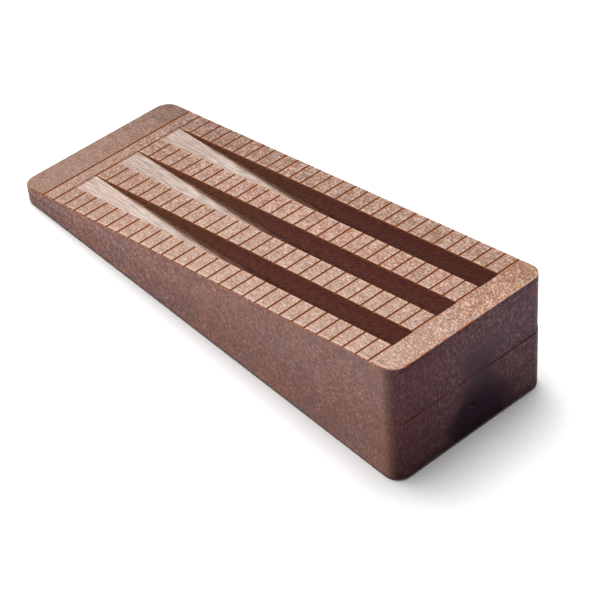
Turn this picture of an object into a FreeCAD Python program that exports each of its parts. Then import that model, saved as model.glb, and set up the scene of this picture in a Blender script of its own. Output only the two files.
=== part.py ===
"""Desktop pick holder: a low wedge whose sloping deck has three long slots for picks.

Two ribbed mouldings meet on the plane that halves the wedge. Four screws driven from below
clamp the lower shell to the upper one, two pegs locate them, and four rubber feet sit in
recesses of the underside. All lengths are in millimetres.

Shell frame: X runs along the meeting plane from the thin end to the thick end, Z is its
normal, and the origin is in the middle of the thin end. Both mouldings are drawn in that
frame, which is the direction their moulds open, and then tilted so that the base is level.
Part frame: +Z up, +X towards the thick end, origin under the middle of the whole object.
"""
import FreeCAD, Part
import os

import Sketcher

SIZES = (
    ("centre_length", 160.0, "length along the meeting plane"),
    ("block_width", 60.0, "across the wedge"),
    ("thick_end", 40.0, "height of the thick end face"),
    ("thin_end", 4.7, "height of the thin end face"),
    ("corner_radius", 5.0, "upright corners"),
    ("edge_break", 0.3, "chamfer round the deck and the base"),
    ("seam_step", 0.25, "how far the lower shell is set towards the thick end"),
    ("wall", 3.0, "outer walls"),
    ("skin", 3.0, "deck and base plates"),
    ("rib", 2.0, "thickness of the ribs"),
    ("bay_start", 20.0, "solid length of the thin end"),
    ("bay_count", 8.0, "rows of bays along the wedge"),
    ("groove_pitch", 5.0, "from one deck groove to the next"),
    ("groove_width", 0.5, "deck groove"),
    ("groove_depth", 0.4, "deck groove"),
    ("groove_margin_thin", 11.2, "thin edge to the first groove, along the deck"),
    ("groove_margin_thick", 9.6, "least distance from the last groove to the thick edge"),
    ("slot_width", 8.0, "opening for the picks"),
    ("land_width", 9.0, "deck between two slots"),
    ("slot_margin_thin", 15.7, "thin edge to the slots, along the deck"),
    ("slot_margin_thick", 9.2, "slots to the thick edge, along the deck"),
    ("slot_start_depth", 0.2, "depth of a slot at its thin end"),
    ("trough_wall", 2.0, "walls of the troughs under the slots"),
    ("screw_inset_thin", 50.0, "thin end to the first pair of screws"),
    ("screw_inset_thick", 30.0, "thick end to the second pair of screws"),
    ("screw_radius", 1.45, "shank"),
    ("screw_length", 10.0, "shank under the head"),
    ("screw_tip", 1.5, "pointed end of the shank"),
    ("head_radius", 2.8, "screw head"),
    ("head_height", 2.0, "screw head"),
    ("drive_width", 0.9, "arm of the cross recess"),
    ("drive_span", 3.2, "length of the cross recess"),
    ("drive_depth", 1.1, "depth of the cross recess"),
    ("grip", 4.5, "lower shell held between the screw head and the meeting plane"),
    ("pilot_clearance", 0.05, "round the shank in the upper shell"),
    ("shank_clearance", 0.3, "round the shank in the lower shell"),
    ("head_clearance", 0.4, "round the head in its well"),
    ("pilot_spare", 0.6, "pilot hole beyond the screw point"),
    ("boss_radius", 3.5, "screw bosses of the upper shell"),
    ("column_radius", 4.75, "columns of the lower shell"),
    ("peg_inset_thin", 32.0, "thin end to the first peg"),
    ("peg_inset_thick", 18.0, "thick end to the second peg"),
    ("peg_radius", 2.0, "locating peg"),
    ("peg_height", 2.0, "locating peg"),
    ("peg_clearance", 0.1, "round a peg in its hole"),
    ("peg_spare", 0.4, "peg hole beyond the peg"),
    ("foot_radius", 5.0, "rubber foot"),
    ("foot_stand", 0.5, "how far the feet stand out of the base"),
    ("foot_recess", 1.1, "depth of the foot recesses"),
    ("foot_clearance", 0.15, "round a foot in its recess"),
    ("foot_edge", 0.3, "rounded lower edge of a foot"),
    ("foot_inset_thin", 16.0, "thin edge to the first pair of feet, along the base"),
    ("foot_inset_thick", 13.0, "thick edge to the second pair of feet, along the base"),
    ("foot_inset_side", 10.0, "side of the wedge to the foot centres"),
    ("gate_radius", 1.1, "injection mark on the thick end"),
    ("gate_depth", 0.3, "injection mark on the thick end"),
    ("gate_drop", 9.5, "meeting plane to the injection mark"),
)

# Expressions that several features share.
RISE = "((Sizes.thick_end - Sizes.thin_end) / (2 * Sizes.centre_length))"
TILT = f"atan({RISE})"
LOWER_LENGTH = "(Sizes.centre_length + Sizes.seam_step)"
HALF_WIDTH = "(Sizes.block_width / 2)"
SLOT_PITCH = "(Sizes.slot_width + Sizes.land_width)"
SLOT_START = f"(Sizes.slot_margin_thin * cos({TILT}))"
SLOT_END = f"(Sizes.centre_length - Sizes.slot_margin_thick * cos({TILT}))"
DECK_LENGTH = f"(Sizes.centre_length / cos({TILT}))"
GROOVE_COUNT = (
    f"(floor(({DECK_LENGTH} - Sizes.groove_margin_thin - Sizes.groove_margin_thick)"
    " / Sizes.groove_pitch) + 1)"
)
BAY_PITCH = "((Sizes.centre_length - Sizes.wall - Sizes.bay_start + Sizes.rib) / Sizes.bay_count)"
SCREW_ALONG = {
    "thin": "Sizes.screw_inset_thin",
    "thick": "(Sizes.centre_length - Sizes.screw_inset_thick)",
}
PEG_ALONG = {
    "thin": "Sizes.peg_inset_thin",
    "thick": "(Sizes.centre_length - Sizes.peg_inset_thick)",
}
FOOT_ALONG = {
    "thin": "Sizes.foot_inset_thin",
    "thick": f"({LOWER_LENGTH} / cos({TILT}) - Sizes.foot_inset_thick)",
}
SIDE_SIGN = {"near": "-1", "far": "1"}
OVERCUT = "1"


def height_at(along):
    """Distance from the meeting plane to the deck, or to the base, at a place along it."""
    return f"(Sizes.thin_end / 2 + ({along}) * {RISE})"


FULL_HEIGHT = f"({height_at(LOWER_LENGTH)} + {OVERCUT})"
SLOT_FLOOR = f"({height_at(SLOT_START)} - Sizes.slot_start_depth)"
SKIN_HEIGHT = f"(Sizes.skin / cos({TILT}))"

# Where the shell frame's origin lies in the part frame.
THIN_REACH = f"(Sizes.thin_end / 2 * sin({TILT}))"
THICK_REACH = f"({LOWER_LENGTH} * cos({TILT}) + {height_at(LOWER_LENGTH)} * sin({TILT}))"
ORIGIN_X = f"(({THIN_REACH} - {THICK_REACH}) / 2)"
ORIGIN_Z = f"(Sizes.foot_stand + Sizes.thin_end / 2 * cos({TILT}))"

doc = FreeCAD.newDocument("pick_holder")


def make_sheet():
    """The spreadsheet of driving sizes: name, value and meaning in each row."""
    sheet = doc.addObject("Spreadsheet::Sheet", "Sizes")
    for row, (name, value, meaning) in enumerate(SIZES, start=1):
        sheet.set(f"A{row}", name)
        sheet.set(f"B{row}", str(value))
        sheet.set(f"C{row}", meaning)
        sheet.setAlias(f"B{row}", name)
    doc.recompute()
    return sheet


sizes = make_sheet()


def number(expression):
    """The present value of an expression, used to draw a sketch near its final shape."""
    return float(sizes.evalExpression(expression))


def make_body(name):
    """A PartDesign body whose label is the node's name."""
    body = doc.addObject("PartDesign::Body", name)
    body.Label = name
    return body


def place(body, offset_x, offset_y, offset_z, tilt=TILT):
    """Put a body in the part frame, its +X end raised by the tilt."""
    body.Placement = FreeCAD.Placement(
        FreeCAD.Vector(), FreeCAD.Rotation(FreeCAD.Vector(0, -1, 0), 1)
    )
    body.setExpression("Placement.Base.x", offset_x)
    body.setExpression("Placement.Base.y", offset_y)
    body.setExpression("Placement.Base.z", offset_z)
    body.setExpression("Placement.Rotation.Angle", tilt)


def place_in_shell_frame(body, along, across, above):
    """Put a body at a point of the shell frame, parallel to that frame."""
    offset_x = f"{ORIGIN_X} + ({along}) * cos({TILT}) - ({above}) * sin({TILT})"
    offset_z = f"{ORIGIN_Z} + ({along}) * sin({TILT}) + ({above}) * cos({TILT})"
    place(body, offset_x, across, offset_z)


def make_sketch(body, name, plane, axis=(0, 0, 1), **offsets):
    """A sketch on an origin plane of its body; offsets gives x, y, z or angle expressions."""
    sketch = body.newObject("Sketcher::SketchObject", name)
    support = next(part for part in body.Origin.OriginFeatures if part.Role == plane)
    sketch.AttachmentSupport = [(support, "")]
    sketch.MapMode = "FlatFace"
    sketch.AttachmentOffset = FreeCAD.Placement(
        FreeCAD.Vector(), FreeCAD.Rotation(FreeCAD.Vector(*axis), 1 if "angle" in offsets else 0)
    )
    for key, expression in offsets.items():
        target = "Rotation.Angle" if key == "angle" else f"Base.{key}"
        sketch.setExpression(f"AttachmentOffset.{target}", expression)
    return sketch


def bind_point(sketch, geometry, vertex, point):
    """Hold a sketch point at the two expressions in point."""
    for kind, expression in zip(("DistanceX", "DistanceY"), point):
        constraint = Sketcher.Constraint(kind, -1, 1, geometry, vertex, number(expression))
        index = sketch.addConstraint(constraint)
        sketch.renameConstraint(index, f"{kind[-1].lower()}_{geometry}")
        sketch.setExpression(f"Constraints[{index}]", expression)


def draw_polygon(sketch, points):
    """A closed outline through points, each a pair of expressions."""
    corners = [FreeCAD.Vector(number(across), number(up), 0) for across, up in points]
    first = sketch.GeometryCount
    count = len(points)
    for index in range(count):
        sketch.addGeometry(Part.LineSegment(corners[index], corners[(index + 1) % count]), False)
    for index in range(count):
        following = first + (index + 1) % count
        sketch.addConstraint(Sketcher.Constraint("Coincident", first + index, 2, following, 1))
    for index, point in enumerate(points):
        bind_point(sketch, first + index, 1, point)


def draw_rectangle(sketch, left, right, bottom, top):
    """A rectangle between four expressions."""
    draw_polygon(sketch, [(left, bottom), (right, bottom), (right, top), (left, top)])


def draw_circle(sketch, across, up, radius):
    """A circle whose centre and radius are expressions."""
    centre = FreeCAD.Vector(number(across), number(up), 0)
    geometry = sketch.addGeometry(
        Part.Circle(centre, FreeCAD.Vector(0, 0, 1), number(radius)), False
    )
    bind_point(sketch, geometry, 3, (across, up))
    index = sketch.addConstraint(Sketcher.Constraint("Radius", geometry, number(radius)))
    sketch.setExpression(f"Constraints[{index}]", radius)


def body_volume(body):
    """Volume so far, 0 before the first feature."""
    return body.Shape.Volume if body.Tip and not body.Shape.isNull() else 0.0


def extrude(body, kind, sketch, name, length, symmetric=False, reverse=False):
    """A Pad or a Pocket of a sketch, over a length given as an expression."""
    before = body_volume(body)
    feature = body.newObject(f"PartDesign::{kind}", name)
    feature.Profile = sketch
    feature.Reversed = reverse
    feature.SideType = "Symmetric" if symmetric else "One side"
    feature.Type = "Length"
    feature.setExpression("Length", length)
    doc.recompute()
    change = body_volume(body) - before
    if (change > 0) != (kind == "Pad") or change == 0:
        raise RuntimeError(f"{body.Label}: {name} changed the volume by {change:.3f}")
    return feature


def pattern(body, original, name, direction, length, count):
    """A row of copies of a feature, the first one included."""
    before = body_volume(body)
    row = body.newObject("PartDesign::LinearPattern", name)
    row.Originals = [original]
    row.Direction = direction
    row.setExpression("Length", length)
    row.setExpression("Occurrences", count)
    body.Tip = row
    doc.recompute()
    if body_volume(body) == before:
        raise RuntimeError(f"{body.Label}: {name} added no copies")
    return row


def axis_of(body, role):
    """An origin axis of a body, as a pattern direction."""
    return (next(part for part in body.Origin.OriginFeatures if part.Role == role), [""])


def dress(body, kind, name, size_property, size, edges):
    """A Fillet or a Chamfer on edges, numbers in the body's present shape."""
    base = body.Tip
    feature = body.newObject(f"PartDesign::{kind}", name)
    feature.Base = (base, [f"Edge{index}" for index in edges])
    feature.setExpression(size_property, size)
    doc.recompute()
    return feature


def upright_edges(shape):
    """Numbers of the corner edges that run along the shape's Z, on its outer sides."""
    box = shape.BoundBox
    found = []
    for index, edge in enumerate(shape.Edges, start=1):
        ends = [vertex.Point for vertex in edge.Vertexes]
        if len(ends) != 2:
            continue
        run = ends[1] - ends[0]
        at_side = abs(abs(ends[0].y) - box.YMax) < 1e-6
        at_end = min(abs(ends[0].x - box.XMin), abs(ends[0].x - box.XMax)) < 1e-6
        if at_side and at_end and abs(run.z) > 1e-6 and abs(run.x) + abs(run.y) < 1e-6:
            found.append(index)
    return found


def rim_edges(shape, up):
    """Numbers of the outer edges of the sloping face whose normal points along up."""
    slopes = []
    for face in shape.Faces:
        if isinstance(face.Surface, Part.Plane):
            normal = face.normalAt(0, 0)
            if 0.5 < normal.z * up < 0.99999:
                slopes.append(face)
    rim = max(slopes, key=lambda face: face.Area).OuterWire
    return [
        index
        for index, edge in enumerate(shape.Edges, start=1)
        if any(edge.isSame(other) for other in rim.Edges)
    ]


def outer_block(body, start, end, up):
    """The block of one shell, from the meeting plane to past its thickest place."""
    sketch = make_sketch(body, "block_outline", "XY_Plane")
    draw_rectangle(sketch, start, end, f"-{HALF_WIDTH}", HALF_WIDTH)
    extrude(body, "Pad", sketch, "block", FULL_HEIGHT, reverse=up < 0)


def bays(body, lanes):
    """Bays between the ribs, in lanes between two expressions across; a lane without room is left out."""
    sketch = make_sketch(body, "bay_outline", "XY_Plane")
    bay_end = f"(Sizes.bay_start + {BAY_PITCH} - Sizes.rib)"
    for low, high in lanes:
        if number(high) > number(low):
            draw_rectangle(sketch, "Sizes.bay_start", bay_end, low, high)
    first = extrude(body, "Pocket", sketch, "bay", f"4 * {FULL_HEIGHT}", symmetric=True)
    run = f"{BAY_PITCH} * (Sizes.bay_count - 1)"
    pattern(body, first, "bay_row", axis_of(body, "X_Axis"), run, "Sizes.bay_count")


def round_feature(body, kind, name, centres, radius, depth, reverse, above=None):
    """Round pads or pockets on the meeting plane, or on a plane above it."""
    offsets = {"z": above} if above else {}
    sketch = make_sketch(body, f"{name}_outline", "XY_Plane", **offsets)
    for along, across in centres:
        draw_circle(sketch, along, across, radius)
    return extrude(body, kind, sketch, name, depth, reverse=reverse)


def sloping_plate(body, end, up):
    """The deck or base plate over the bays, then everything beyond it cut away."""
    sign = "" if up > 0 else "-"
    inner = "(Sizes.bay_start - Sizes.wall)"
    outer = f"({end} - Sizes.wall / 2)"
    plate = make_sketch(body, "plate_profile", "XZ_Plane")
    draw_polygon(plate, [
        (inner, f"{sign}({height_at(inner)} - {SKIN_HEIGHT})"),
        (outer, f"{sign}({height_at(outer)} - {SKIN_HEIGHT})"),
        (outer, f"{sign}({height_at(outer)} + {OVERCUT} / 2)"),
        (inner, f"{sign}({height_at(inner)} + {OVERCUT} / 2)"),
    ])
    extrude(body, "Pad", plate, "plate", "Sizes.block_width - Sizes.wall", symmetric=True)
    before = f"(-{OVERCUT})"
    beyond = f"({end} + {OVERCUT})"
    clear = f"{sign}(2 * {FULL_HEIGHT})"
    slope = make_sketch(body, "slope_profile", "XZ_Plane")
    draw_polygon(slope, [
        (before, f"{sign}{height_at(before)}"),
        (beyond, f"{sign}{height_at(beyond)}"),
        (beyond, clear),
        (before, clear),
    ])
    extrude(body, "Pocket", slope, "slope", "2 * Sizes.block_width", symmetric=True)


def finish_outside(body, up):
    """Round the four upright corners and break the rim of the sloping face."""
    corners = upright_edges(body.Tip.Shape)
    dress(body, "Fillet", "corners", "Radius", "Sizes.corner_radius", corners)
    rim = rim_edges(body.Tip.Shape, up)
    dress(body, "Chamfer", "rim", "Size", "Sizes.edge_break", rim)


def screw_places():
    """Name suffix, place along and place across of each screw."""
    for end, along in SCREW_ALONG.items():
        for side, sign in SIDE_SIGN.items():
            yield f"{end}_{side}", along, f"({sign} * {SLOT_PITCH} / 2)"


def foot_places():
    """Name suffix, place along the base and place across of each foot."""
    for end, along in FOOT_ALONG.items():
        for side, sign in SIDE_SIGN.items():
            yield f"{end}_{side}", along, f"({sign} * ({HALF_WIDTH} - Sizes.foot_inset_side))"


def slots(body):
    """Three slots with level floors, open at the deck and closed at both ends."""
    sketch = make_sketch(body, "slot_profile", "XZ_Plane", z=SLOT_PITCH)
    draw_rectangle(sketch, SLOT_START, SLOT_END, SLOT_FLOOR, FULL_HEIGHT)
    slot = extrude(body, "Pocket", sketch, "slot", "Sizes.slot_width", symmetric=True)
    pattern(body, slot, "slot_row", axis_of(body, "Y_Axis"), f"2 * {SLOT_PITCH}", "3")


def deck_grooves(body):
    """Shallow grooves straight across the deck and out of its sides."""
    sketch = make_sketch(body, "groove_profile", "XZ_Plane", y="Sizes.thin_end / 2", angle=TILT)
    draw_rectangle(
        sketch,
        "Sizes.groove_margin_thin - Sizes.groove_width / 2",
        "Sizes.groove_margin_thin + Sizes.groove_width / 2",
        "-Sizes.groove_depth",
        OVERCUT,
    )
    groove = extrude(body, "Pocket", sketch, "groove", "2 * Sizes.block_width", symmetric=True)
    run = f"Sizes.groove_pitch * ({GROOVE_COUNT} - 1)"
    pattern(body, groove, "groove_row", (sketch, ["H_Axis"]), run, GROOVE_COUNT)


def make_upper_shell():
    """Deck, slots and skirt, with ribs, screw bosses and peg holes underneath."""
    body = make_body("upper_shell")
    outer_block(body, "0", "Sizes.centre_length", up=1)
    trough_side = "(Sizes.slot_width / 2 + Sizes.trough_wall)"
    inner_wall = f"({HALF_WIDTH} - Sizes.wall)"
    bays(body, [
        (trough_side, f"({SLOT_PITCH} - {trough_side})"),
        (f"(-{SLOT_PITCH} + {trough_side})", f"-{trough_side}"),
        (f"({SLOT_PITCH} + {trough_side})", inner_wall),
        (f"-{inner_wall}", f"(-{SLOT_PITCH} - {trough_side})"),
    ])
    screws = [(along, across) for suffix, along, across in screw_places()]
    pegs = [(along, "0") for along in PEG_ALONG.values()]
    round_feature(body, "Pad", "boss", screws, "Sizes.boss_radius", FULL_HEIGHT, False)
    sloping_plate(body, "Sizes.centre_length", up=1)
    finish_outside(body, up=1)
    slots(body)
    pilot_depth = "Sizes.screw_length - Sizes.grip + Sizes.pilot_spare"
    pilot_radius = "Sizes.screw_radius + Sizes.pilot_clearance"
    round_feature(body, "Pocket", "pilot", screws, pilot_radius, pilot_depth, True)
    peg_hole = "Sizes.peg_radius + Sizes.peg_clearance"
    peg_depth = "Sizes.peg_height + Sizes.peg_spare"
    round_feature(body, "Pocket", "peg_hole", pegs, peg_hole, peg_depth, True)
    deck_grooves(body)
    place_in_shell_frame(body, "0", "0", "0")
    return body


def base_offsets():
    """Sketch offsets that lay an XY sketch on the base, its X running along the base."""
    return {"axis": (0, 1, 0), "z": "-Sizes.thin_end / 2", "angle": TILT}


def make_lower_shell():
    """Base and skirt, with ribs, screw columns, pegs and foot recesses."""
    body = make_body("lower_shell")
    outer_block(body, "Sizes.seam_step", LOWER_LENGTH, up=-1)
    inner_wall = f"({HALF_WIDTH} - Sizes.wall)"
    lane_edge = f"({SLOT_PITCH} / 2 - Sizes.rib / 2)"
    side_edge = f"({SLOT_PITCH} / 2 + Sizes.rib / 2)"
    bays(body, [
        (f"-{lane_edge}", lane_edge),
        (side_edge, inner_wall),
        (f"-{inner_wall}", f"-{side_edge}"),
    ])
    screws = [(along, across) for suffix, along, across in screw_places()]
    pegs = [(along, "0") for along in PEG_ALONG.values()]
    posts = screws + pegs
    round_feature(body, "Pad", "column", posts, "Sizes.column_radius", FULL_HEIGHT, True)
    sloping_plate(body, LOWER_LENGTH, up=-1)
    finish_outside(body, up=-1)
    shank_hole = "Sizes.screw_radius + Sizes.shank_clearance"
    round_feature(body, "Pocket", "shank_hole", screws, shank_hole, FULL_HEIGHT, False)
    well_radius = "Sizes.head_radius + Sizes.head_clearance"
    well_top = "-Sizes.grip"
    round_feature(
        body, "Pocket", "head_well", screws, well_radius, FULL_HEIGHT, False, above=well_top
    )
    round_feature(body, "Pad", "peg", pegs, "Sizes.peg_radius", "Sizes.peg_height", False)
    recess = make_sketch(body, "foot_recess_outline", "XY_Plane", **base_offsets())
    for suffix, along, across in foot_places():
        draw_circle(recess, along, across, "Sizes.foot_radius + Sizes.foot_clearance")
    extrude(body, "Pocket", recess, "foot_recess", "Sizes.foot_recess", reverse=True)
    gate = make_sketch(body, "gate_outline", "YZ_Plane", z=LOWER_LENGTH)
    draw_circle(gate, "0", "-Sizes.gate_drop", "Sizes.gate_radius")
    extrude(body, "Pocket", gate, "gate_mark", "Sizes.gate_depth")
    place_in_shell_frame(body, "0", "0", "0")
    return body


def make_screw(suffix, along, across):
    """A pan-head screw, its origin under the head and its point along +Z."""
    body = make_body(f"screw_{suffix}")
    profile = make_sketch(body, "screw_profile", "XZ_Plane")
    draw_polygon(profile, [
        ("0", "-Sizes.head_height"),
        ("Sizes.head_radius * 0.6", "-Sizes.head_height"),
        ("Sizes.head_radius", "-Sizes.head_height * 0.45"),
        ("Sizes.head_radius", "0"),
        ("Sizes.screw_radius", "0"),
        ("Sizes.screw_radius", "Sizes.screw_length - Sizes.screw_tip"),
        ("0", "Sizes.screw_length"),
    ])
    turned = body.newObject("PartDesign::Revolution", "turned")
    turned.Profile = profile
    turned.ReferenceAxis = (profile, ["V_Axis"])
    turned.Angle = 360
    doc.recompute()
    drive = make_sketch(body, "drive_outline", "XY_Plane", z="-Sizes.head_height")
    arm = "Sizes.drive_width / 2"
    reach = "Sizes.drive_span / 2"
    draw_polygon(drive, [
        (f"-{arm}", f"-{reach}"), (arm, f"-{reach}"), (arm, f"-{arm}"), (reach, f"-{arm}"),
        (reach, arm), (arm, arm), (arm, reach), (f"-{arm}", reach),
        (f"-{arm}", arm), (f"-{reach}", arm), (f"-{reach}", f"-{arm}"), (f"-{arm}", f"-{arm}"),
    ])
    extrude(body, "Pocket", drive, "drive", "Sizes.drive_depth", reverse=True)
    place_in_shell_frame(body, along, across, "(-Sizes.grip)")
    return body


def make_foot(suffix, along, across):
    """A rubber disc, flat in its recess, with a rounded lower edge."""
    body = make_body(f"foot_{suffix}")
    outline = make_sketch(body, "foot_outline", "XY_Plane")
    draw_circle(outline, "0", "0", "Sizes.foot_radius")
    extrude(body, "Pad", outline, "disc", "Sizes.foot_recess + Sizes.foot_stand")
    lowest = [
        index
        for index, edge in enumerate(body.Tip.Shape.Edges, start=1)
        if edge.BoundBox.ZMax < 1e-6
    ]
    dress(body, "Fillet", "lower_edge", "Radius", "Sizes.foot_edge", lowest)
    thin_corner = f"{ORIGIN_X} + {THIN_REACH}"
    place(body, f"{thin_corner} + {along}", across, "0", tilt="0")
    return body


def check(bodies):
    """Stop unless every object recomputed and every sub-part is one valid solid."""
    for item in doc.Objects:
        if {"Invalid", "Error"} & set(item.State):
            raise RuntimeError(f"{item.Name} failed: {item.State}")
    for body in bodies:
        shape = body.Shape
        if shape.isNull() or not shape.isValid() or len(shape.Solids) != 1:
            raise RuntimeError(f"{body.Label} is not one valid solid")


def main():
    """Build every sub-part, check it and write its STEP file."""
    bodies = [make_upper_shell(), make_lower_shell()]
    bodies += [make_screw(*place_of) for place_of in screw_places()]
    bodies += [make_foot(*place_of) for place_of in foot_places()]
    doc.recompute()
    check(bodies)
    os.makedirs("parts", exist_ok=True)
    for body in bodies:
        body.Shape.exportStep(f"parts/{body.Label}.step")
        box = body.Shape.BoundBox
        print(
            f"{body.Label}: {body.Shape.Volume:.1f} mm3,"
            f" x {box.XMin:.2f} to {box.XMax:.2f},"
            f" y {box.YMin:.2f} to {box.YMax:.2f},"
            f" z {box.ZMin:.2f} to {box.ZMax:.2f}"
        )


main()
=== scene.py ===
import math
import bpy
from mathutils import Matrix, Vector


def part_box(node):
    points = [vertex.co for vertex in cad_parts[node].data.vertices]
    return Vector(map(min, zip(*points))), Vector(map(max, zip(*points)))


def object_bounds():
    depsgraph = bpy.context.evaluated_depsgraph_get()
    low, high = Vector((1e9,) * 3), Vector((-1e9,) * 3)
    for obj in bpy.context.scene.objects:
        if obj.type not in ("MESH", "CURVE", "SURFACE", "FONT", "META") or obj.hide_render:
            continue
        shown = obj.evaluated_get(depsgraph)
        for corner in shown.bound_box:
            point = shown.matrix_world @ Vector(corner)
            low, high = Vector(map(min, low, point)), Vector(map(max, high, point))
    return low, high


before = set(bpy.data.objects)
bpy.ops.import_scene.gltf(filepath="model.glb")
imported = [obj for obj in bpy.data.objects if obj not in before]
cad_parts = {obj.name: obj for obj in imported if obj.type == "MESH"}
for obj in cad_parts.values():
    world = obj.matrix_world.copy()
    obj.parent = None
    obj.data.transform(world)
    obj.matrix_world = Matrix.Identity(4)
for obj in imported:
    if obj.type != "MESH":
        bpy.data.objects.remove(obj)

from types import SimpleNamespace

import bpy
from mathutils import Quaternion, Vector

FIRST_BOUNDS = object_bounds()
MM = 1000.0

# Places are in millimetres: _X, _Y and _Z in the row frame, _ALONG along the sloping deck
# from its thin edge. In a pair, a mask is 0 at the first value and 1 at the second.

# Grooves, slots and the injection point, which lies GATE_DROP under the seam.
FIRST_GROOVE = 11.2
GROOVE_PITCH = 5.0
GROOVE_DEPTH = 0.4
SLOT_START = 16.0
SLOT_END = 151.0
SLOT_PITCH = 17.0
SLOT_HALF_WIDTH = 4.0
GATE_DROP = 9.5
# How far in from the outline a surface counts as inside, and how soon a sharp mask comes in.
OUTLINE_INSET = 3.0
SHARP = 0.1

# Sides.
THICK_HALF_X = (0.0, 1.0)
NEAR_CORNER_X = (69.0, 75.0)
NEAR_CORNER_Y = (-12.0, -22.0)
SPECKLED_X = (20.0, -30.0)
BUSY_X = (10.0, -40.0)
CHIPS_FROM_THIN_END = (80.0, 60.0)
SEAM_FROM_THIN_END = (26.0, 6.0)
FAN_FROM_THICK_END = (7.0, 4.0)
GATE_FROM_THICK_END = (7.0, 6.0)
END_TINT_FAR_Y = 12.0
# END_HIGH_Z to FAR_FOOT_Z place painted light and shade on the thick end.
END_HIGH_Z = (20.0, 32.0)
END_FOOT_Z = (22.0, 1.0)
END_LOWEST_Z = (5.5, 1.0)
FAR_FOOT_Y = (8.0, 16.0)
FAR_FOOT_Z = (24.0, 14.0)

# Dark fan-shaped patch down the middle of the thick end, darker towards the foot: its half width grows
# towards the foot.
FAN_MIDDLE_Y = 3.0
FAN_TOP_Z = (36.0, 25.0)
FAN_SPREAD_Z = (17.0, 6.0)
FAN_COLOUR_Z = (26.0, 8.0)
FAN_STRENGTH_Z = (22.0, 10.0)
FAN_HALF_WIDTH = (6.5, 13.0)
FAN_SOFT_Y = (0.0, 8.0)
FAN_SOFTNESS = (4.4, 6.5)
FAN_RAGGED = 5.0

# Deck.
# Painted light falloff: the fades placed by DECK_BRIGHTENS_ALONG, DECK_DULLS_ALONG, FAR_LAND_Y and the far
# corner.
DECK_BRIGHTENS_ALONG = (15.0, 60.0)
DECK_DULLS_ALONG = (95.0, 120.0)
FAR_LAND_Y = (16.0, 23.0)
FAR_CORNER_Y = (12.0, 24.0)
FAR_CORNER_ALONG = (130.0, 20.0)
COOL_PATCH_ALONG = (30.0, 65.0)
COOL_PATCH_Y = (9.0, -3.0)
THIN_RIM_FAR_Y = (-10.0, 0.0)
THICK_RIM_NEAR_Y = (-14.0, -24.0)
THICK_RIM_FAR_Y = (-6.0, 10.0)
ROUGH_RIM_FAR_Y = 10.0
NEAR_HIGHLIGHT_ALONG = (FIRST_GROOVE, 30.0)

# Slots.
SLOT_FLOOR_TILT = 6.3
FLOOR_OPENS_DEPTH = (1.8, 3.0)
FLOOR_SHADE_DEPTH = (3.1, 4.4)
BOUNCE_REDDENS_DEPTH = (4.5, 7.5)
WALL_BOUNCE_DEPTH = (1.0, 5.0)
WALL_BOUNCE_PALES_DEPTH = (2.5, 7.5)
FARTHER_SLOTS_Y = (-12.0, -5.0)
FAR_SLOT_Y = (6.0, 16.0)
THIN_WALL_ALONG = (90.0, 45.0)

# Ledge of the step between the mouldings, on the thick end.
LEDGE_NEAR_Y = (-26.0, -16.0)
LEDGE_FAR_Y = (2.0, 12.0)

# Colours and tints, linear. A tint multiplies what is under it.
DECK_DARK = (0.1260, 0.0690, 0.0490, 1)
DECK_EARTH = (0.1330, 0.0610, 0.0360, 1)
DECK_PALE = (0.3828, 0.2940, 0.2620, 1)
DECK_WARM = (0.3873, 0.2700, 0.2130, 1)
DECK_COOL_TINT = (0.99, 1.05, 1.07, 1)
THIN_RIM_TINT = (1.0, 0.96, 0.975, 1)
THICK_RIM_NEAR_HIGHLIGHT = (1.02, 1.06, 1.08, 1)
THICK_RIM_TINT_FAR = (0.98, 0.89, 0.79, 1)
GROOVE = (0.2432, 0.0866, 0.037, 1)
BURR = (0.2439, 0.0796, 0.026, 1)

SIDE = (0.2660, 0.1350, 0.1155, 1)
SIDE_WARM = (0.2740, 0.1335, 0.1060, 1)
SIDE_PALE = (0.4805, 0.3117, 0.2509, 1)
SIDE_SHEEN_TINT = (1.0, 1.07, 1.09, 1)
BLOOM = (0.2400, 0.1440, 0.1390, 1)
FAN_DARK = (0.0330, 0.0066, 0.0250, 1)
FAN_DARK_HIGH = (0.1201, 0.0773, 0.1192, 1)
END_TINT_NEAR = (1.0, 0.79, 1.03, 1)
END_TINT_FAR = (1.18, 1.19, 1.57, 1)

SLOT_WALL = (0.1400, 0.0452, 0.0322, 1)
SLOT_WALL_DARK = (0.0830, 0.0265, 0.0192, 1)
WALL_THIN_TINT = (0.98, 1.18, 0.86, 1)
WALL_BOUNCE_TINT = (1.45, 2.05, 2.25, 1)
SLOT_FLOOR = (0.332, 0.262, 0.230, 1)
FLOOR_STREAK = (0.1950, 0.1400, 0.1190, 1)
FLOOR_OPENED_TINT = (1.08, 1.15, 1.18, 1)
BOUNCE_TINT = (1.32, 0.96, 0.74, 1)
BOUNCE_DEEP_TINT = (2.0, 1.40, 1.20, 1)

STEEL = (0.56, 0.56, 0.57, 1)
STEEL_DARK = (0.34, 0.34, 0.36, 1)
RUBBER = (0.028, 0.028, 0.03, 1)
RUBBER_WORN = (0.075, 0.072, 0.07, 1)
STUDIO_FLOOR = (0.92, 0.92, 0.92, 1)
MOULDING_GLOSS = 0.06

# Camera.
TARGET = Vector((0.024462, -0.013570, 0.020035))
DISTANCE = 0.70699
AZIMUTH = math.radians(-44.349)
ELEVATION = math.radians(43.544)
ROLL = math.radians(2.546)
LENS = 150.0


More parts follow.
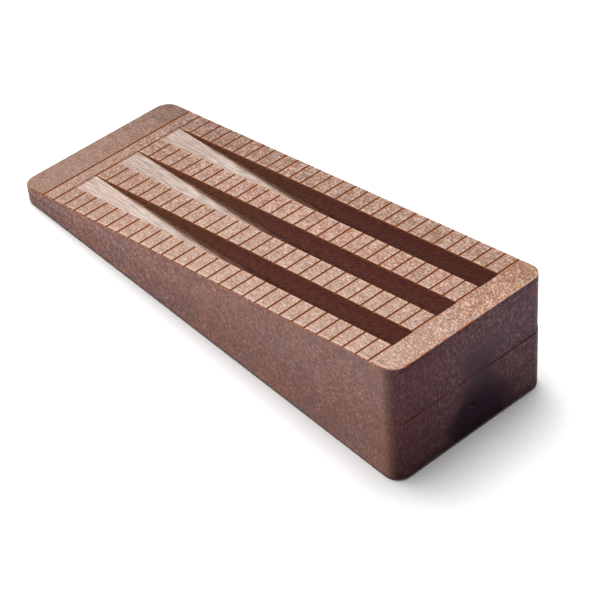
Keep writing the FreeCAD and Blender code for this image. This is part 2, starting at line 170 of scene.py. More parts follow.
class Graph:
    """A material's node tree, built from short calls that take sockets or plain values."""

    def __init__(self, name):
        self.material = bpy.data.materials.new(name)
        self.material.use_nodes = True
        self.tree = self.material.node_tree
        self.tree.nodes.clear()

    def node(self, kind, **settings):
        made = self.tree.nodes.new(f"ShaderNode{kind}")
        for key, value in settings.items():
            setattr(made, key, value)
        return made

    def feed(self, socket, value):
        if isinstance(value, bpy.types.NodeSocket):
            self.tree.links.new(value, socket)
        else:
            socket.default_value = value

    def math(self, operation, *values):
        made = self.node("Math", operation=operation)
        for socket, value in zip(made.inputs, values):
            self.feed(socket, value)
        return made.outputs[0]

    def vector(self, operation, *values):
        made = self.node("VectorMath", operation=operation)
        for socket, value in zip(made.inputs, values):
            self.feed(socket, value)
        return made.outputs["Value" if operation == "DOT_PRODUCT" else "Vector"]

    def scaled(self, place, factor):
        made = self.node("VectorMath", operation="SCALE")
        self.feed(made.inputs[0], place)
        self.feed(made.inputs["Scale"], factor)
        return made.outputs["Vector"]

    def turned(self, place, axis, degrees):
        made = self.node("VectorRotate", rotation_type="AXIS_ANGLE")
        self.feed(made.inputs["Vector"], place)
        made.inputs["Axis"].default_value = axis
        made.inputs["Angle"].default_value = math.radians(degrees)
        return made.outputs["Vector"]

    def parts(self, place):
        made = self.node("SeparateXYZ")
        self.feed(made.inputs[0], place)
        return made.outputs

    def ramp(self, value, low, high):
        """0 at low, 1 at high, smooth between; low may be the larger one."""
        made = self.node("MapRange", interpolation_type="SMOOTHSTEP")
        for name, given in (("Value", value), ("From Min", low), ("From Max", high)):
            self.feed(made.inputs[name], given)
        return made.outputs["Result"]

    def product(self, first, *others):
        for other in others:
            first = self.math("MULTIPLY", first, other)
        return first

    def band(self, value, rise, fall):
        """1 between a rise and a fall, which are each a pair as ramp takes them."""
        return self.product(self.ramp(value, *rise), self.ramp(value, *fall))

    def without(self, mask, *others):
        """The mask less the places of the other masks."""
        for other in others:
            mask = self.product(mask, self.math("SUBTRACT", 1.0, other))
        return mask

    def mix(self, amount, first, second):
        made = self.node("Mix", data_type="RGBA")
        self.feed(made.inputs[0], amount)
        self.feed(made.inputs[6], first)
        self.feed(made.inputs[7], second)
        return made.outputs[2]

    def blend(self, amount, first, second):
        made = self.node("Mix", data_type="FLOAT")
        self.feed(made.inputs[0], amount)
        self.feed(made.inputs[2], first)
        self.feed(made.inputs[3], second)
        return made.outputs[0]

    def tint(self, colour, factor):
        """The colour times another colour."""
        made = self.node("Mix", data_type="RGBA", blend_type="MULTIPLY")
        made.inputs[0].default_value = 1.0
        self.feed(made.inputs[6], colour)
        self.feed(made.inputs[7], factor)
        return made.outputs[2]

    def brighten(self, colour, factor):
        """The colour times a plain factor."""
        joined = self.node("CombineColor")
        for socket in joined.inputs:
            self.feed(socket, factor)
        return self.tint(colour, joined.outputs[0])

    def paint(self, colour, mask, over, strength):
        """Lay another colour over this one where the mask is 1."""
        return self.mix(self.product(mask, strength), colour, over)

    def tone(self, colour, mask, factor):
        """Brighten or dim the colour by a factor where the mask is 1."""
        return self.brighten(colour, self.blend(mask, 1.0, factor))

    def tint_where(self, colour, mask, factor):
        """Tint the colour where the mask is 1."""
        return self.mix(mask, colour, self.tint(colour, factor))

    def noise(self, place, size, detail=2.0, roughness=0.55, distortion=0.0):
        """Noise whose features are about size millimetres across."""
        made = self.node("TexNoise")
        self.feed(made.inputs["Vector"], place)
        made.inputs["Scale"].default_value = 1.0 / size
        made.inputs["Detail"].default_value = detail
        made.inputs["Roughness"].default_value = roughness
        made.inputs["Distortion"].default_value = distortion
        return made.outputs[0]

    def warp(self, place, size):
        """A small push in every direction that bends what is laid over it."""
        made = self.node("TexNoise")
        self.feed(made.inputs["Vector"], place)
        made.inputs["Scale"].default_value = 1.0 / size
        return self.vector("SUBTRACT", made.outputs[1], (0.5, 0.5, 0.5))

    def grains(self, place, size, share):
        """Scattered grains: 1 in a grain, 0 between; share is the share of cells that hold one."""
        made = self.node("TexVoronoi")
        self.feed(made.inputs["Vector"], place)
        made.inputs["Scale"].default_value = 1.0 / size
        chance = self.parts(made.outputs["Color"])[0]
        chosen = self.ramp(chance, share, share * 0.8)
        return self.product(chosen, self.ramp(made.outputs["Distance"], 0.5, 0.2))

    def swing(self, *parts, base=1.0):
        """A factor about base: each part is a noise and how far it swings the factor."""
        total = base
        for source, amount in parts:
            total = self.math("ADD", total, self.product(self.math("SUBTRACT", source, 0.5), amount))
        return self.math("MAXIMUM", total, 0.05)

    def finish(self, colour, roughness, height, height_mm, strength=1.0, metallic=0.0, gloss=0.5):
        shader = self.node("BsdfPrincipled")
        shader.inputs["Specular IOR Level"].default_value = gloss
        self.feed(shader.inputs["Base Color"], colour)
        self.feed(shader.inputs["Roughness"], roughness)
        shader.inputs["Metallic"].default_value = metallic
        bump = self.node("Bump")
        bump.inputs["Strength"].default_value = strength
        bump.inputs["Distance"].default_value = height_mm / MM
        self.feed(bump.inputs["Height"], height)
        self.tree.links.new(bump.outputs[0], shader.inputs["Normal"])
        output = self.node("OutputMaterial")
        self.tree.links.new(shader.outputs[0], output.inputs["Surface"])
        return self.material


def deck_plane():
    """A point on the deck and its normal, from the highest wide face that looks up."""
    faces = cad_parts["upper_shell"].data.polygons
    wide = [face for face in faces if face.normal.z > 0.9 and face.area > 1e-6]
    highest = max(wide, key=lambda face: face.center.z)
    return highest.center * MM, highest.normal.copy()


def block_coordinates(graph):
    """Sockets that say where a point of the mouldings is and which way it faces.

    toward_end is 0 on the long sides and 1 on the ends; the rounded corners lie between.
    """
    low, high = (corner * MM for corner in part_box("lower_shell"))
    on_deck, deck_normal = deck_plane()
    place = graph.scaled(graph.node("TexCoord").outputs["Object"], MM)
    normal = graph.node("NewGeometry").outputs["True Normal"]
    x, y, z = graph.parts(place)
    facing_x, _, facing_z = graph.parts(normal)
    toward_end = graph.ramp(graph.math("ABSOLUTE", facing_x), 0.3, 0.9)
    from_deck = graph.vector("SUBTRACT", place, on_deck)
    return SimpleNamespace(
        near_y=low.y,
        place=place,
        normal=normal,
        x=x,
        y=y,
        z=z,
        facing_x=facing_x,
        facing_z=facing_z,
        above_deck=graph.vector("DOT_PRODUCT", from_deck, deck_normal),
        above_base=graph.math("SUBTRACT", z, low.z),
        from_thin_end=graph.math("SUBTRACT", x, low.x),
        from_thick_end=graph.math("SUBTRACT", high.x, x),
        toward_end=toward_end,
        thick_end=graph.product(toward_end, graph.ramp(x, *THICK_HALF_X)),
        near_corner=graph.product(graph.ramp(x, *NEAR_CORNER_X), graph.ramp(y, *NEAR_CORNER_Y)),
    )


def add_deck_coordinates(graph, at):
    """Add the place along the deck, and how the surface turns from the deck."""
    on_deck, deck_normal = deck_plane()
    along_deck = Vector((deck_normal.z, 0, -deck_normal.x))
    at.upper_low, at.upper_high = (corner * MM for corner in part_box("upper_shell"))
    fall = (on_deck.x - at.upper_low.x) * deck_normal.x / deck_normal.z
    thin_edge = Vector((at.upper_low.x, 0, on_deck.z + fall))
    at.along = graph.vector("DOT_PRODUCT", graph.vector("SUBTRACT", at.place, thin_edge), along_deck)
    at.up = graph.vector("DOT_PRODUCT", at.normal, deck_normal)
    at.down_deck = graph.math("ABSOLUTE", graph.vector("DOT_PRODUCT", at.normal, along_deck))
    at.across = graph.ramp(at.y, at.upper_low.y, at.upper_high.y)
    at.thin_rim = graph.ramp(at.along, FIRST_GROOVE + SHARP, FIRST_GROOVE)
    at.thick_rim = graph.ramp(at.along, SLOT_END - 1, SLOT_END + 1)


def side_pattern(graph, at):
    """Noises of the sides. Fibres, strands and flecks lie along the plastic's flow."""
    long_strokes = graph.vector("MULTIPLY", graph.turned(at.place, (0, 1, 0), -42), (0.35, 1.0, 1.0))
    end_strokes = graph.vector("MULTIPLY", graph.turned(at.place, (1, 0, 0), -64), (1.0, 0.4, 1.0))
    elsewhere = graph.vector("ADD", at.place, (40.0, 0.0, 0.0))

    def either(pattern, on_long_side, on_end):
        side, end = pattern(long_strokes, *on_long_side), pattern(end_strokes, *on_end)
        return graph.blend(at.toward_end, side, end)

    return SimpleNamespace(
        fibre=either(graph.noise, (0.34, 1.0), (0.45, 1.0)),
        strand=either(graph.noise, (0.8, 1.0), (0.8, 1.0)),
        fleck=either(graph.grains, (0.5, 0.28), (0.6, 0.4)),
        speck=graph.grains(at.place, 0.9, 0.05),
        cloud=graph.noise(at.place, 3.2),
        mottle=graph.noise(at.place, 13.0, detail=3.0),
        bloom=graph.noise(elsewhere, 11.0, detail=3.0, distortion=0.5),
    )


def side_colour(graph, at, pattern, calm):
    """Browns of the sides with pale flecks and specks. The thick end turns cooler to its far side."""
    colour = graph.mix(graph.ramp(pattern.mottle, 0.35, 0.65), SIDE, SIDE_WARM)
    fleck_strength = graph.product(calm, graph.blend(at.toward_end, 0.35, 0.7))
    colour = graph.paint(colour, pattern.fleck, SIDE_PALE, fleck_strength)
    colour = graph.paint(colour, graph.ramp(pattern.bloom, 0.48, 0.68), BLOOM, 0.5)
    speck_strength = graph.blend(graph.ramp(at.x, *SPECKLED_X), 0.25, 0.7)
    colour = graph.paint(colour, pattern.speck, SIDE_PALE, speck_strength)
    end_tint = graph.mix(graph.ramp(at.y, at.near_y, END_TINT_FAR_Y), END_TINT_NEAR, END_TINT_FAR)
    return graph.tint_where(colour, at.thick_end, end_tint)


def side_shading(graph, at, pattern, calm):
    """Factor by which the grain lightens and darkens the sides, busiest near the thin end."""
    on_long_side = graph.blend(graph.ramp(at.x, *BUSY_X), 1.0, 1.6)
    busy = graph.product(graph.blend(at.toward_end, on_long_side, 1.7), calm)
    fine = graph.product(busy, graph.blend(at.toward_end, 2.9, 2.3))
    coarse = graph.product(busy, 0.8)
    shading = graph.swing(
        (pattern.fibre, fine),
        (pattern.strand, coarse),
        (pattern.cloud, 0.4),
        (pattern.mottle, 0.5),
        base=0.92,
    )
    return graph.math("MAXIMUM", shading, graph.blend(at.toward_end, 0.76, 0.62))


def dark_fan_mask(graph, at):
    """Mask of a smooth patch down the middle of the thick end, widening towards the foot."""
    ragged = graph.noise(at.place, 5.0, detail=4.0)
    half_width = graph.blend(graph.ramp(at.z, *FAN_SPREAD_Z), *FAN_HALF_WIDTH)
    reach = graph.math("ADD", half_width, graph.blend(ragged, -FAN_RAGGED, FAN_RAGGED))
    soft = graph.blend(graph.ramp(at.y, *FAN_SOFT_Y), *FAN_SOFTNESS)
    from_middle = graph.math("ABSOLUTE", graph.math("SUBTRACT", at.y, FAN_MIDDLE_Y))
    return graph.product(
        graph.ramp(from_middle, graph.math("ADD", reach, soft), graph.math("SUBTRACT", reach, soft)),
        graph.ramp(at.from_thick_end, *FAN_FROM_THICK_END),
        graph.ramp(at.z, *FAN_TOP_Z),
        at.toward_end,
    )


def shade_end(graph, at, colour):
    """Painted shade and light: darker then lighter round the thick corners, and painted shade over the foot
    of the thick end, lifted a little on its far side.
    """
    corner = graph.band(at.facing_x, (0.1, 0.35), (0.8, 0.65))
    past_corner = graph.band(at.facing_x, (0.72, 0.85), (0.99, 0.96))
    far_foot = graph.product(at.thick_end, graph.ramp(at.y, *FAR_FOOT_Y), graph.ramp(at.z, *FAR_FOOT_Z))
    foot = graph.product(at.thick_end, graph.ramp(at.z, *END_FOOT_Z))
    lowest = graph.product(at.thick_end, graph.ramp(at.z, *END_LOWEST_Z))
    for mask, factor in ((corner, 0.86), (past_corner, 1.2), (far_foot, 1.13), (foot, 0.62), (lowest, 0.6)):
        colour = graph.tone(colour, mask, factor)
    return colour


def mark_seam_and_gate(graph, at, colour):
    """The dark line where the mouldings meet near the thin end, and the injection point."""
    over_seam = graph.product(graph.math("ADD", at.above_base, at.above_deck), 0.5)
    near_thin = graph.ramp(at.from_thin_end, *SEAM_FROM_THIN_END)
    seam = graph.product(graph.ramp(graph.math("ABSOLUTE", over_seam), 0.3, 0.1), near_thin)
    over_gate = graph.math("ADD", over_seam, GATE_DROP)
    squared = graph.math("ADD", graph.product(at.y, at.y), graph.product(over_gate, over_gate))
    on_thick = graph.ramp(at.from_thick_end, *GATE_FROM_THICK_END)
    # Painted light over the pocket of the injection point, with a dark core in its middle.
    ring_light = graph.product(graph.ramp(squared, 2.2, 1.6), on_thick)
    core = graph.product(graph.ramp(squared, 0.5, 0.2), on_thick)
    for mask, factor in ((seam, 0.3), (ring_light, 1.15), (core, 0.3)):
        colour = graph.tone(colour, mask, factor)
    return colour


def outer_skin(graph, at):
    """Colour, roughness and height of the satin sides as they left the mould."""
    pattern = side_pattern(graph, at)
    calm = graph.blend(at.near_corner, 1.0, 0.6)
    colour = side_colour(graph, at, pattern, calm)
    shading = side_shading(graph, at, pattern, calm)

    # Painted light: lighter from the base up, and the top of the thick end lighter still; the upper sides
    # get a painted cooler sheen. rise is 0 at the base and 1 at the deck.
    full_height = graph.math("MAXIMUM", graph.math("SUBTRACT", at.above_base, at.above_deck), 0.1)
    rise = graph.math("DIVIDE", at.above_base, full_height)
    painted_light_high_on_end = graph.product(at.thick_end, graph.ramp(at.z, *END_HIGH_Z))
    painted_light_by_height = graph.product(
        graph.blend(graph.ramp(rise, 0.15, 0.85), 0.90, 1.16), graph.blend(painted_light_high_on_end, 1.0, 1.18)
    )
    colour = graph.tint_where(colour, graph.ramp(rise, 0.4, 0.7), SIDE_SHEEN_TINT)

    # A dark patch down the thick end, darker and stronger towards the foot.
    fan = dark_fan_mask(graph, at)
    shading = graph.blend(graph.product(fan, 0.8), shading, 1.0)
    fan_colour = graph.mix(graph.ramp(at.z, *FAN_COLOUR_Z), FAN_DARK_HIGH, FAN_DARK)
    colour = graph.paint(colour, fan, fan_colour, graph.blend(graph.ramp(at.z, *FAN_STRENGTH_Z), 0.7, 0.98))
    colour = graph.brighten(colour, graph.product(shading, painted_light_by_height))

    bent = graph.vector("ADD", at.place, graph.scaled(graph.warp(at.place, 1.2), 1.6))
    near_thin = graph.ramp(at.from_thin_end, *CHIPS_FROM_THIN_END)
    chips = graph.product(graph.grains(bent, 2.0, 0.02), near_thin)
    colour = graph.paint(colour, chips, DECK_PALE, 0.6)
    colour = shade_end(graph, at, colour)
    colour = mark_seam_and_gate(graph, at, colour)

    # Painted light: the downward chamfer of the base is painted pale, except at the thick end.
    chamfer = graph.band(at.facing_z, (-0.3, -0.5), (-0.9, -0.8))
    wear_and_painted_light = graph.without(chamfer, graph.ramp(at.facing_x, 0.1, 0.3))
    colour = graph.mix(wear_and_painted_light, colour, SIDE_PALE)
    return colour, graph.blend(pattern.fibre, 0.45, 0.65), pattern.fibre


def upper_surfaces(graph, at):
    """Masks of the deck, its grooves, the slots and the chamfered rim, from how each faces.

    The cosine at.up is 1 on the deck and in the grooves, 0.994 on slot floors and 0 on walls.
    """
    from_middle = graph.math("ABSOLUTE", at.y)
    edge_y = at.upper_high.y - OUTLINE_INSET
    thin_x = at.upper_low.x + OUTLINE_INSET
    thick_x = at.upper_high.x - OUTLINE_INSET
    inside = graph.product(
        graph.ramp(from_middle, edge_y, edge_y - SHARP),
        graph.ramp(at.x, thin_x, thin_x + SHARP),
        graph.ramp(at.x, thick_x, thick_x - SHARP),
    )
    shallow = graph.ramp(at.above_deck, -GROOVE_DEPTH - SHARP, -GROOVE_DEPTH)
    level = graph.ramp(at.above_deck, -0.1, -0.04)
    parallel = graph.ramp(at.up, 0.9975, 0.9985)
    flat = graph.ramp(at.up, 0.97, 0.98)
    groove_floor = graph.without(parallel, level)
    groove_wall = graph.product(graph.ramp(at.down_deck, 0.9975, 0.9985), shallow)
    groove = graph.math("MAXIMUM", groove_floor, groove_wall)
    steep = graph.product(graph.ramp(at.up, 0.6, 0.4), inside)
    chamfer = graph.product(graph.ramp(at.up, 0.3, 0.4), graph.ramp(at.above_deck, -0.6, -0.4))
    return SimpleNamespace(
        deck=graph.product(flat, level),
        groove=groove,
        slot_floor=graph.without(graph.product(flat, inside), level, parallel),
        slot_wall=graph.without(steep, groove),
        rim=graph.without(chamfer, flat),
    )


def deck_pattern(graph, at):
    """Noises of the sanded deck."""
    strokes = graph.vector("MULTIPLY", graph.turned(at.place, (0, 0, 1), 35), (0.5, 1.0, 1.0))
    bent = graph.vector("ADD", at.place, graph.scaled(graph.warp(at.place, 1.5), 0.8))
    return SimpleNamespace(
        grain=graph.noise(strokes, 0.42, detail=1.0),
        coarse=graph.noise(bent, 0.8, detail=1.0),
        patch=graph.noise(strokes, 2.2, detail=1.0),
        mottle=graph.noise(at.place, 9.0, detail=3.0),
        hue=graph.noise(bent, 1.3),
        pale=graph.grains(graph.vector("ADD", bent, (9.0, 5.0, 0.0)), 0.6, 0.22),
        ragged=graph.noise(at.place, 0.9, detail=1.0),
    )


def deck_colour(graph, at, pattern):
    """Dark and pale grains, rougher towards the far side and over the thick rim."""
    rough_rim = graph.product(at.thick_rim, graph.ramp(at.y, at.upper_low.y, ROUGH_RIM_FAR_Y))
    calm = graph.blend(at.thin_rim, 1.0, 0.55)

    def swing(near, far, on_rim):
        return graph.product(calm, graph.blend(rough_rim, graph.blend(at.across, near, far), on_rim))

    fine = swing(1.15, 1.35, 2.3)
    coarse = swing(0.35, 1.7, 1.3)
    patchy = graph.product(calm, graph.blend(at.across, 0.3, 0.75))
    shade = graph.swing(
        (pattern.grain, fine),
        (pattern.coarse, coarse),
        (pattern.patch, patchy),
        (pattern.pale, 0.45),
        base=0.47,
    )
    warmth = graph.ramp(pattern.hue, 0.35, 0.65)
    dark = graph.mix(warmth, DECK_DARK, DECK_EARTH)
    pale = graph.mix(warmth, DECK_PALE, DECK_WARM)
    return graph.mix(graph.math("MINIMUM", shade, 1.25), dark, pale)


def deck_toning(graph, at, pattern, colour):
    """Slow changes of tone and tint over the deck. The fades across it and along it from the thin end, and
    the darker far lands and far corner, are painted light falloff.
    """
    far_corner = graph.product(graph.ramp(at.y, *FAR_CORNER_Y), graph.ramp(at.along, *FAR_CORNER_ALONG))
    tone = graph.product(
        graph.blend(pattern.mottle, 0.9, 1.1),
        graph.blend(at.thin_rim, 1.0, 0.815),
        graph.blend(at.across, 1.04, 0.94),
        graph.blend(graph.ramp(at.along, *DECK_BRIGHTENS_ALONG), 0.91, 1.09),
        graph.blend(graph.ramp(at.along, *DECK_DULLS_ALONG), 1.0, 0.975),
        graph.blend(graph.ramp(at.y, *FAR_LAND_Y), 1.0, 0.88),
        graph.blend(at.thick_rim, 1.0, 0.95),
        graph.blend(far_corner, 1.0, 0.89),
    )
    colour = graph.brighten(colour, tone)
    # A slightly cooler tint over part of the deck.
    cool_patch = graph.product(graph.ramp(at.along, *COOL_PATCH_ALONG), graph.ramp(at.y, *COOL_PATCH_Y))
    colour = graph.tint_where(colour, graph.without(cool_patch, at.thick_rim), DECK_COOL_TINT)
    # The near corner of the thick rim is tinted paler, a painted highlight.
    for rim, span, tint in (
        (at.thin_rim, THIN_RIM_FAR_Y, THIN_RIM_TINT),
        (at.thick_rim, THICK_RIM_NEAR_Y, THICK_RIM_NEAR_HIGHLIGHT),
        (at.thick_rim, THICK_RIM_FAR_Y, THICK_RIM_TINT_FAR),
    ):
        colour = graph.tint_where(colour, graph.product(rim, graph.ramp(at.y, *span)), tint)
    return colour


def deck_edges(graph, at, ragged, colour):
    """Painted highlights as pale lines along the slot edges and the near edge, and brown ragged burrs along
    them.
    """
    off_slot = graph.math("SUBTRACT", graph.math("PINGPONG", at.y, SLOT_PITCH / 2), SLOT_HALF_WIDTH)
    off_slot = graph.math("ABSOLUTE", off_slot)
    beside = graph.band(at.along, (SLOT_START, SLOT_START + SHARP), (SLOT_END + SHARP, SLOT_END))
    edge_highlight = graph.product(graph.ramp(off_slot, 0.9, 0.4), beside, graph.ramp(ragged, 0.4, 0.6))
    from_near = graph.math("SUBTRACT", at.y, at.upper_low.y)
    near_edge_highlight = graph.product(
        graph.ramp(from_near, 1.3, 0.7), graph.ramp(at.along, *NEAR_HIGHLIGHT_ALONG)
    )
    colour = graph.paint(colour, graph.math("MAXIMUM", edge_highlight, near_edge_highlight), DECK_PALE, 0.35)
    burr = graph.product(graph.ramp(off_slot, graph.blend(ragged, 0.05, 0.5), 0.0), beside)
    colour = graph.paint(colour, burr, BURR, 0.8)
    outer_edge = graph.ramp(from_near, graph.blend(ragged, 0.2, 0.6), 0.2)
    return graph.paint(colour, outer_edge, GROOVE, 0.4)


def groove_borders(graph, at, colour):
    """Soft brown border of every groove."""
    from_first = graph.math("SUBTRACT", at.along, FIRST_GROOVE + SHARP)
    above_zero = graph.math("ADD", from_first, GROOVE_PITCH * 40)
    off_groove = graph.math("PINGPONG", above_zero, GROOVE_PITCH / 2)
    grooved = graph.band(
        at.along, (FIRST_GROOVE - 1, FIRST_GROOVE - 0.9), (SLOT_END + 1.0, SLOT_END + 0.9)
    )
    border = graph.product(graph.ramp(off_groove, 0.62, 0.30), grooved)
    return graph.paint(colour, border, graph.brighten(GROOVE, 0.82), 0.85)


def slot_floor_colour(graph, at):
    """Pale floor of a slot, and its streaks. Deeper down it is darker, painted shade; where the far wall
    shades it, painted bounce light tints it redder and lighter.
    """
    flow = graph.vector("MULTIPLY", graph.turned(at.place, (0, 1, 0), SLOT_FLOOR_TILT), (0.07, 1.0, 0.3))
    streaks = graph.noise(flow, 0.42, detail=3.0, roughness=0.6)
    colour = graph.mix(graph.ramp(streaks, 0.36, 0.62), FLOOR_STREAK, SLOT_FLOOR)
    depth = graph.math("MAXIMUM", graph.product(at.above_deck, -1.0), 0.05)
    opened = graph.ramp(depth, *FLOOR_OPENS_DEPTH)
    colour = graph.tint_where(colour, opened, FLOOR_OPENED_TINT)
    colour = graph.tone(colour, graph.ramp(depth, *FLOOR_SHADE_DEPTH), 0.90)
    colour = graph.tone(colour, graph.ramp(at.y, *FARTHER_SLOTS_Y), graph.blend(opened, 0.86, 0.95))
    in_slot = graph.math("WRAP", at.y, SLOT_PITCH / 2, -SLOT_PITCH / 2)
    from_far_wall = graph.math("SUBTRACT", SLOT_HALF_WIDTH, in_slot)
    wall_shadow_mask = graph.ramp(graph.math("DIVIDE", from_far_wall, depth), 0.5, 0.2)
    painted_bounce = graph.mix(graph.ramp(depth, *BOUNCE_REDDENS_DEPTH), BOUNCE_TINT, BOUNCE_DEEP_TINT)
    return graph.tint_where(colour, wall_shadow_mask, painted_bounce), streaks


def slot_wall_colour(graph, at, ragged):
    """Dark scraped wall of a slot with a ragged burr at its top. Lower down it is lighter and paler,
    painted bounce light off the floor.
    """
    scrapes = graph.vector("MULTIPLY", graph.turned(at.place, (0, 1, 0), 30), (0.2, 1.0, 1.0))
    colour = graph.mix(graph.ramp(graph.noise(scrapes, 0.5), 0.36, 0.64), SLOT_WALL_DARK, SLOT_WALL)
    depth = graph.product(at.above_deck, -1.0)
    colour = graph.tone(colour, graph.ramp(depth, *WALL_BOUNCE_DEPTH), 1.36)
    colour = graph.tone(colour, graph.ramp(at.y, *FAR_SLOT_Y), 0.88)
    colour = graph.tint_where(colour, graph.ramp(at.along, *THIN_WALL_ALONG), WALL_THIN_TINT)
    colour = graph.tint_where(colour, graph.ramp(depth, *WALL_BOUNCE_PALES_DEPTH), WALL_BOUNCE_TINT)
    burr = graph.ramp(at.above_deck, graph.blend(ragged, -0.2, -1.0), 0.0)
    return graph.mix(burr, colour, BURR)


def rim_colour(graph, at, rim, ragged, colour):
    """Burr round the rim of the deck. On the thick end it is broken by pale notches."""
    on_thick = graph.product(graph.ramp(at.down_deck, 0.3, 0.6), at.thick_rim)
    burr_tone = graph.product(graph.blend(ragged, 0.5, 1.6), graph.blend(on_thick, 0.65, 1.5))
    burr = graph.brighten(BURR, burr_tone)
    notched = graph.ramp(graph.noise(at.place, 1.7, detail=3.0), 0.42, 0.56)
    notched_burr = graph.mix(graph.product(on_thick, notched), burr, DECK_WARM)
    colour = graph.mix(graph.product(rim, graph.ramp(ragged, 0.25, 0.55)), colour, notched_burr)
    end_face = graph.product(on_thick, graph.ramp(at.down_deck, 0.8, 0.9))
    under_edge = graph.product(end_face, graph.ramp(at.above_deck, -2.6, -1.4))
    colour = graph.tone(colour, under_edge, 0.7)
    ragged_edge = graph.ramp(at.above_deck, graph.blend(notched, -1.5, -0.3), 0.0)
    return graph.mix(graph.product(end_face, ragged_edge), colour, burr)


def upper_material():
    graph = Graph("moulding_upper")
    at = block_coordinates(graph)
    add_deck_coordinates(graph, at)
    on = upper_surfaces(graph, at)
    pattern = deck_pattern(graph, at)
    side, side_roughness, side_height = outer_skin(graph, at)
    floor, streaks = slot_floor_colour(graph, at)
    wall = slot_wall_colour(graph, at, pattern.ragged)

    colour = deck_colour(graph, at, pattern)
    colour = deck_toning(graph, at, pattern, colour)
    colour = deck_edges(graph, at, pattern.ragged, colour)
    colour = groove_borders(graph, at, colour)
    colour = graph.mix(on.deck, side, colour)
    colour = graph.mix(on.slot_floor, colour, floor)
    colour = graph.mix(on.slot_wall, colour, wall)
    colour = graph.mix(on.groove, colour, graph.brighten(GROOVE, graph.blend(pattern.grain, 0.7, 1.3)))
    colour = rim_colour(graph, at, on.rim, pattern.ragged, colour)

    roughness = graph.blend(on.deck, side_roughness, graph.blend(pattern.grain, 0.6, 0.8))
    roughness = graph.blend(on.slot_floor, roughness, graph.blend(streaks, 0.25, 0.45))
    roughness = graph.blend(on.groove, roughness, 0.75)
    height = graph.blend(on.deck, side_height, pattern.grain)
    height = graph.blend(on.slot_floor, height, streaks)
    return graph.finish(colour, roughness, height, 0.03, strength=0.6, gloss=MOULDING_GLOSS)


def lower_material():
    """The sides' skin. On the step's ledge, painted shade makes a dark line in the far half, and painted
    light fades it out nearer.
    """
    graph = Graph("moulding_lower")
    at = block_coordinates(graph)
    colour, roughness, height = outer_skin(graph, at)
    ledge = graph.ramp(at.facing_z, 0.9, 0.95)
    near_painted_light = graph.blend(graph.ramp(at.y, *LEDGE_NEAR_Y), 0.7, 2.0)
    ledge_light_and_shade = graph.blend(graph.ramp(at.y, *LEDGE_FAR_Y), near_painted_light, 0.15)
    colour = graph.tone(colour, ledge, ledge_light_and_shade)
    return graph.finish(colour, roughness, height, 0.03, strength=0.6, gloss=MOULDING_GLOSS)


def steel_material():
    graph = Graph("zinc_plate")
    place = graph.scaled(graph.node("TexCoord").outputs["Object"], MM)
    brushed = graph.noise(graph.vector("MULTIPLY", place, (1.0, 1.0, 6.0)), 0.6, detail=4.0)
    colour = graph.mix(graph.ramp(graph.noise(place, 2.5), 0.35, 0.7), STEEL, STEEL_DARK)
    return graph.finish(colour, graph.blend(brushed, 0.22, 0.5), brushed, 0.02, metallic=1.0)


def rubber_material():
    graph = Graph("foot_rubber")
    place = graph.scaled(graph.node("TexCoord").outputs["Object"], MM)
    stipple = graph.noise(place, 0.35, detail=3.0)
    wear_and_painted_light = graph.ramp(graph.noise(place, 3.5, detail=4.0), 0.5, 0.7)
    colour = graph.paint(RUBBER, wear_and_painted_light, RUBBER_WORN, 0.6)
    return graph.finish(colour, graph.blend(stipple, 0.7, 0.95), stipple, 0.05)


def dress(material, *nodes):
    """Give every material slot of these CAD nodes the same material."""
    for name in nodes:
        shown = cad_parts[name]
        if not shown.material_slots:
            shown.data.materials.append(material)
        for holder in shown.material_slots:
            holder.material = material


def named(start):
    return [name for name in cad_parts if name.startswith(start)]


def make_floor():
    """A wide pale floor at the height of the feet."""
    half = 12.0
    low = FIRST_BOUNDS[0].z
    mesh = bpy.data.meshes.new("studio_floor")
    corners = [(-half, -half, low), (half, -half, low), (half, half, low), (-half, half, low)]
    mesh.from_pydata(corners, [], [(0, 1, 2, 3)])
    floor = bpy.data.objects.new("studio_floor", mesh)
    bpy.context.scene.collection.objects.link(floor)
    graph = Graph("studio_floor")
    shader = graph.node("BsdfPrincipled")
    shader.inputs["Base Color"].default_value = STUDIO_FLOOR
    shader.inputs["Roughness"].default_value = 0.9
    shader.inputs["Specular IOR Level"].default_value = 0.0
    shader.inputs["Emission Color"].default_value = STUDIO_FLOOR
    shader.inputs["Emission Strength"].default_value = 0.02
    output = graph.node("OutputMaterial")
    graph.tree.links.new(shader.outputs[0], output.inputs["Surface"])
    mesh.materials.append(graph.material)
    floor.visible_diffuse = False
    return floor


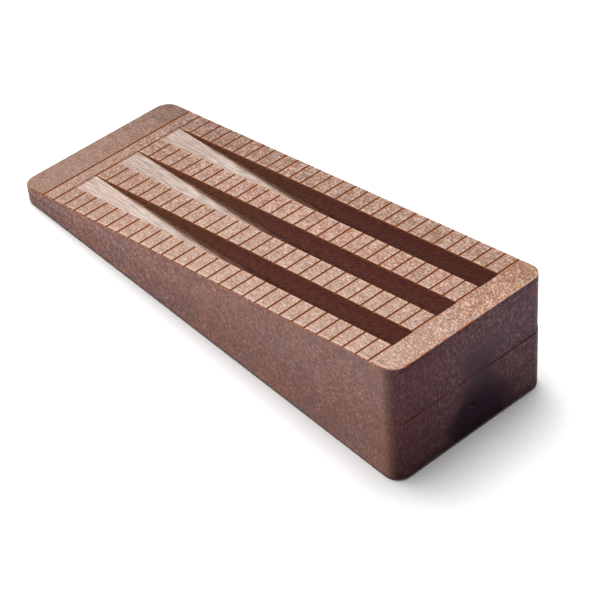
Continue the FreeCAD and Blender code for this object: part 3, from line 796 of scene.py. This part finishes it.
def add_sun(name, direction, strength, spread):
    """A sun that shines from direction, its disc spread degrees wide."""
    data = bpy.data.lights.new(name, "SUN")
    data.energy = strength
    data.angle = math.radians(spread)
    lamp = bpy.data.objects.new(name, data)
    lamp.location = TARGET + Vector(direction)
    lamp.rotation_euler = (-Vector(direction)).to_track_quat("-Z", "Y").to_euler()
    bpy.context.scene.collection.objects.link(lamp)
    return lamp


def make_lights(floor):
    """Soft suns; the floor and the block each have their own."""
    block = bpy.data.collections.new("block")
    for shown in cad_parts.values():
        block.objects.link(shown)
    ground = bpy.data.collections.new("ground")
    ground.objects.link(floor)
    lamps = [
        (block, add_sun("key", (-0.36, 0.36, 1.0), 7.3, 20)),
        (block, add_sun("front", (-0.9, -0.8, 0.5), 2.1, 40)),
        (block, add_sun("front_low", (-0.5, -0.8, 0.15), 1.0, 40)),
        (block, add_sun("right", (0.8, 0.3, 0.4), 0.5, 60)),
        (block, add_sun("under", (0.2, -0.7, -0.7), 0.3, 60)),
        (ground, add_sun("floor_key", (-0.36, 0.045, 1.0), 4.12, 50)),
        (ground, add_sun("floor_left", (-0.84, 0.0, 1.0), 0.57, 40)),
    ]
    for receiver, lamp in lamps:
        lamp.light_linking.receiver_collection = receiver
        if receiver is block:
            lamp.light_linking.blocker_collection = block
    world = bpy.data.worlds.new("studio")
    world.use_nodes = True
    background = world.node_tree.nodes["Background"]
    background.inputs["Color"].default_value = (1.0, 1.0, 1.0, 1)
    background.inputs["Strength"].default_value = 0.03
    bpy.context.scene.world = world
    bpy.context.scene.view_settings.view_transform = "Standard"


def make_camera():
    data = bpy.data.cameras.new("camera")
    data.lens = LENS
    camera = bpy.data.objects.new("camera", data)
    flat = DISTANCE * math.cos(ELEVATION)
    away = Vector((-flat * math.sin(AZIMUTH), -flat * math.cos(AZIMUTH), DISTANCE * math.sin(ELEVATION)))
    camera.location = TARGET + away
    camera.rotation_mode = "QUATERNION"
    camera.rotation_quaternion = (-away).to_track_quat("-Z", "Y") @ Quaternion((0, 0, 1), ROLL)
    bpy.context.scene.collection.objects.link(camera)
    bpy.context.scene.camera = camera


dress(upper_material(), "upper_shell")
dress(lower_material(), "lower_shell")
dress(steel_material(), *named("screw_"))
dress(rubber_material(), *named("foot_"))
make_lights(make_floor())
make_camera()
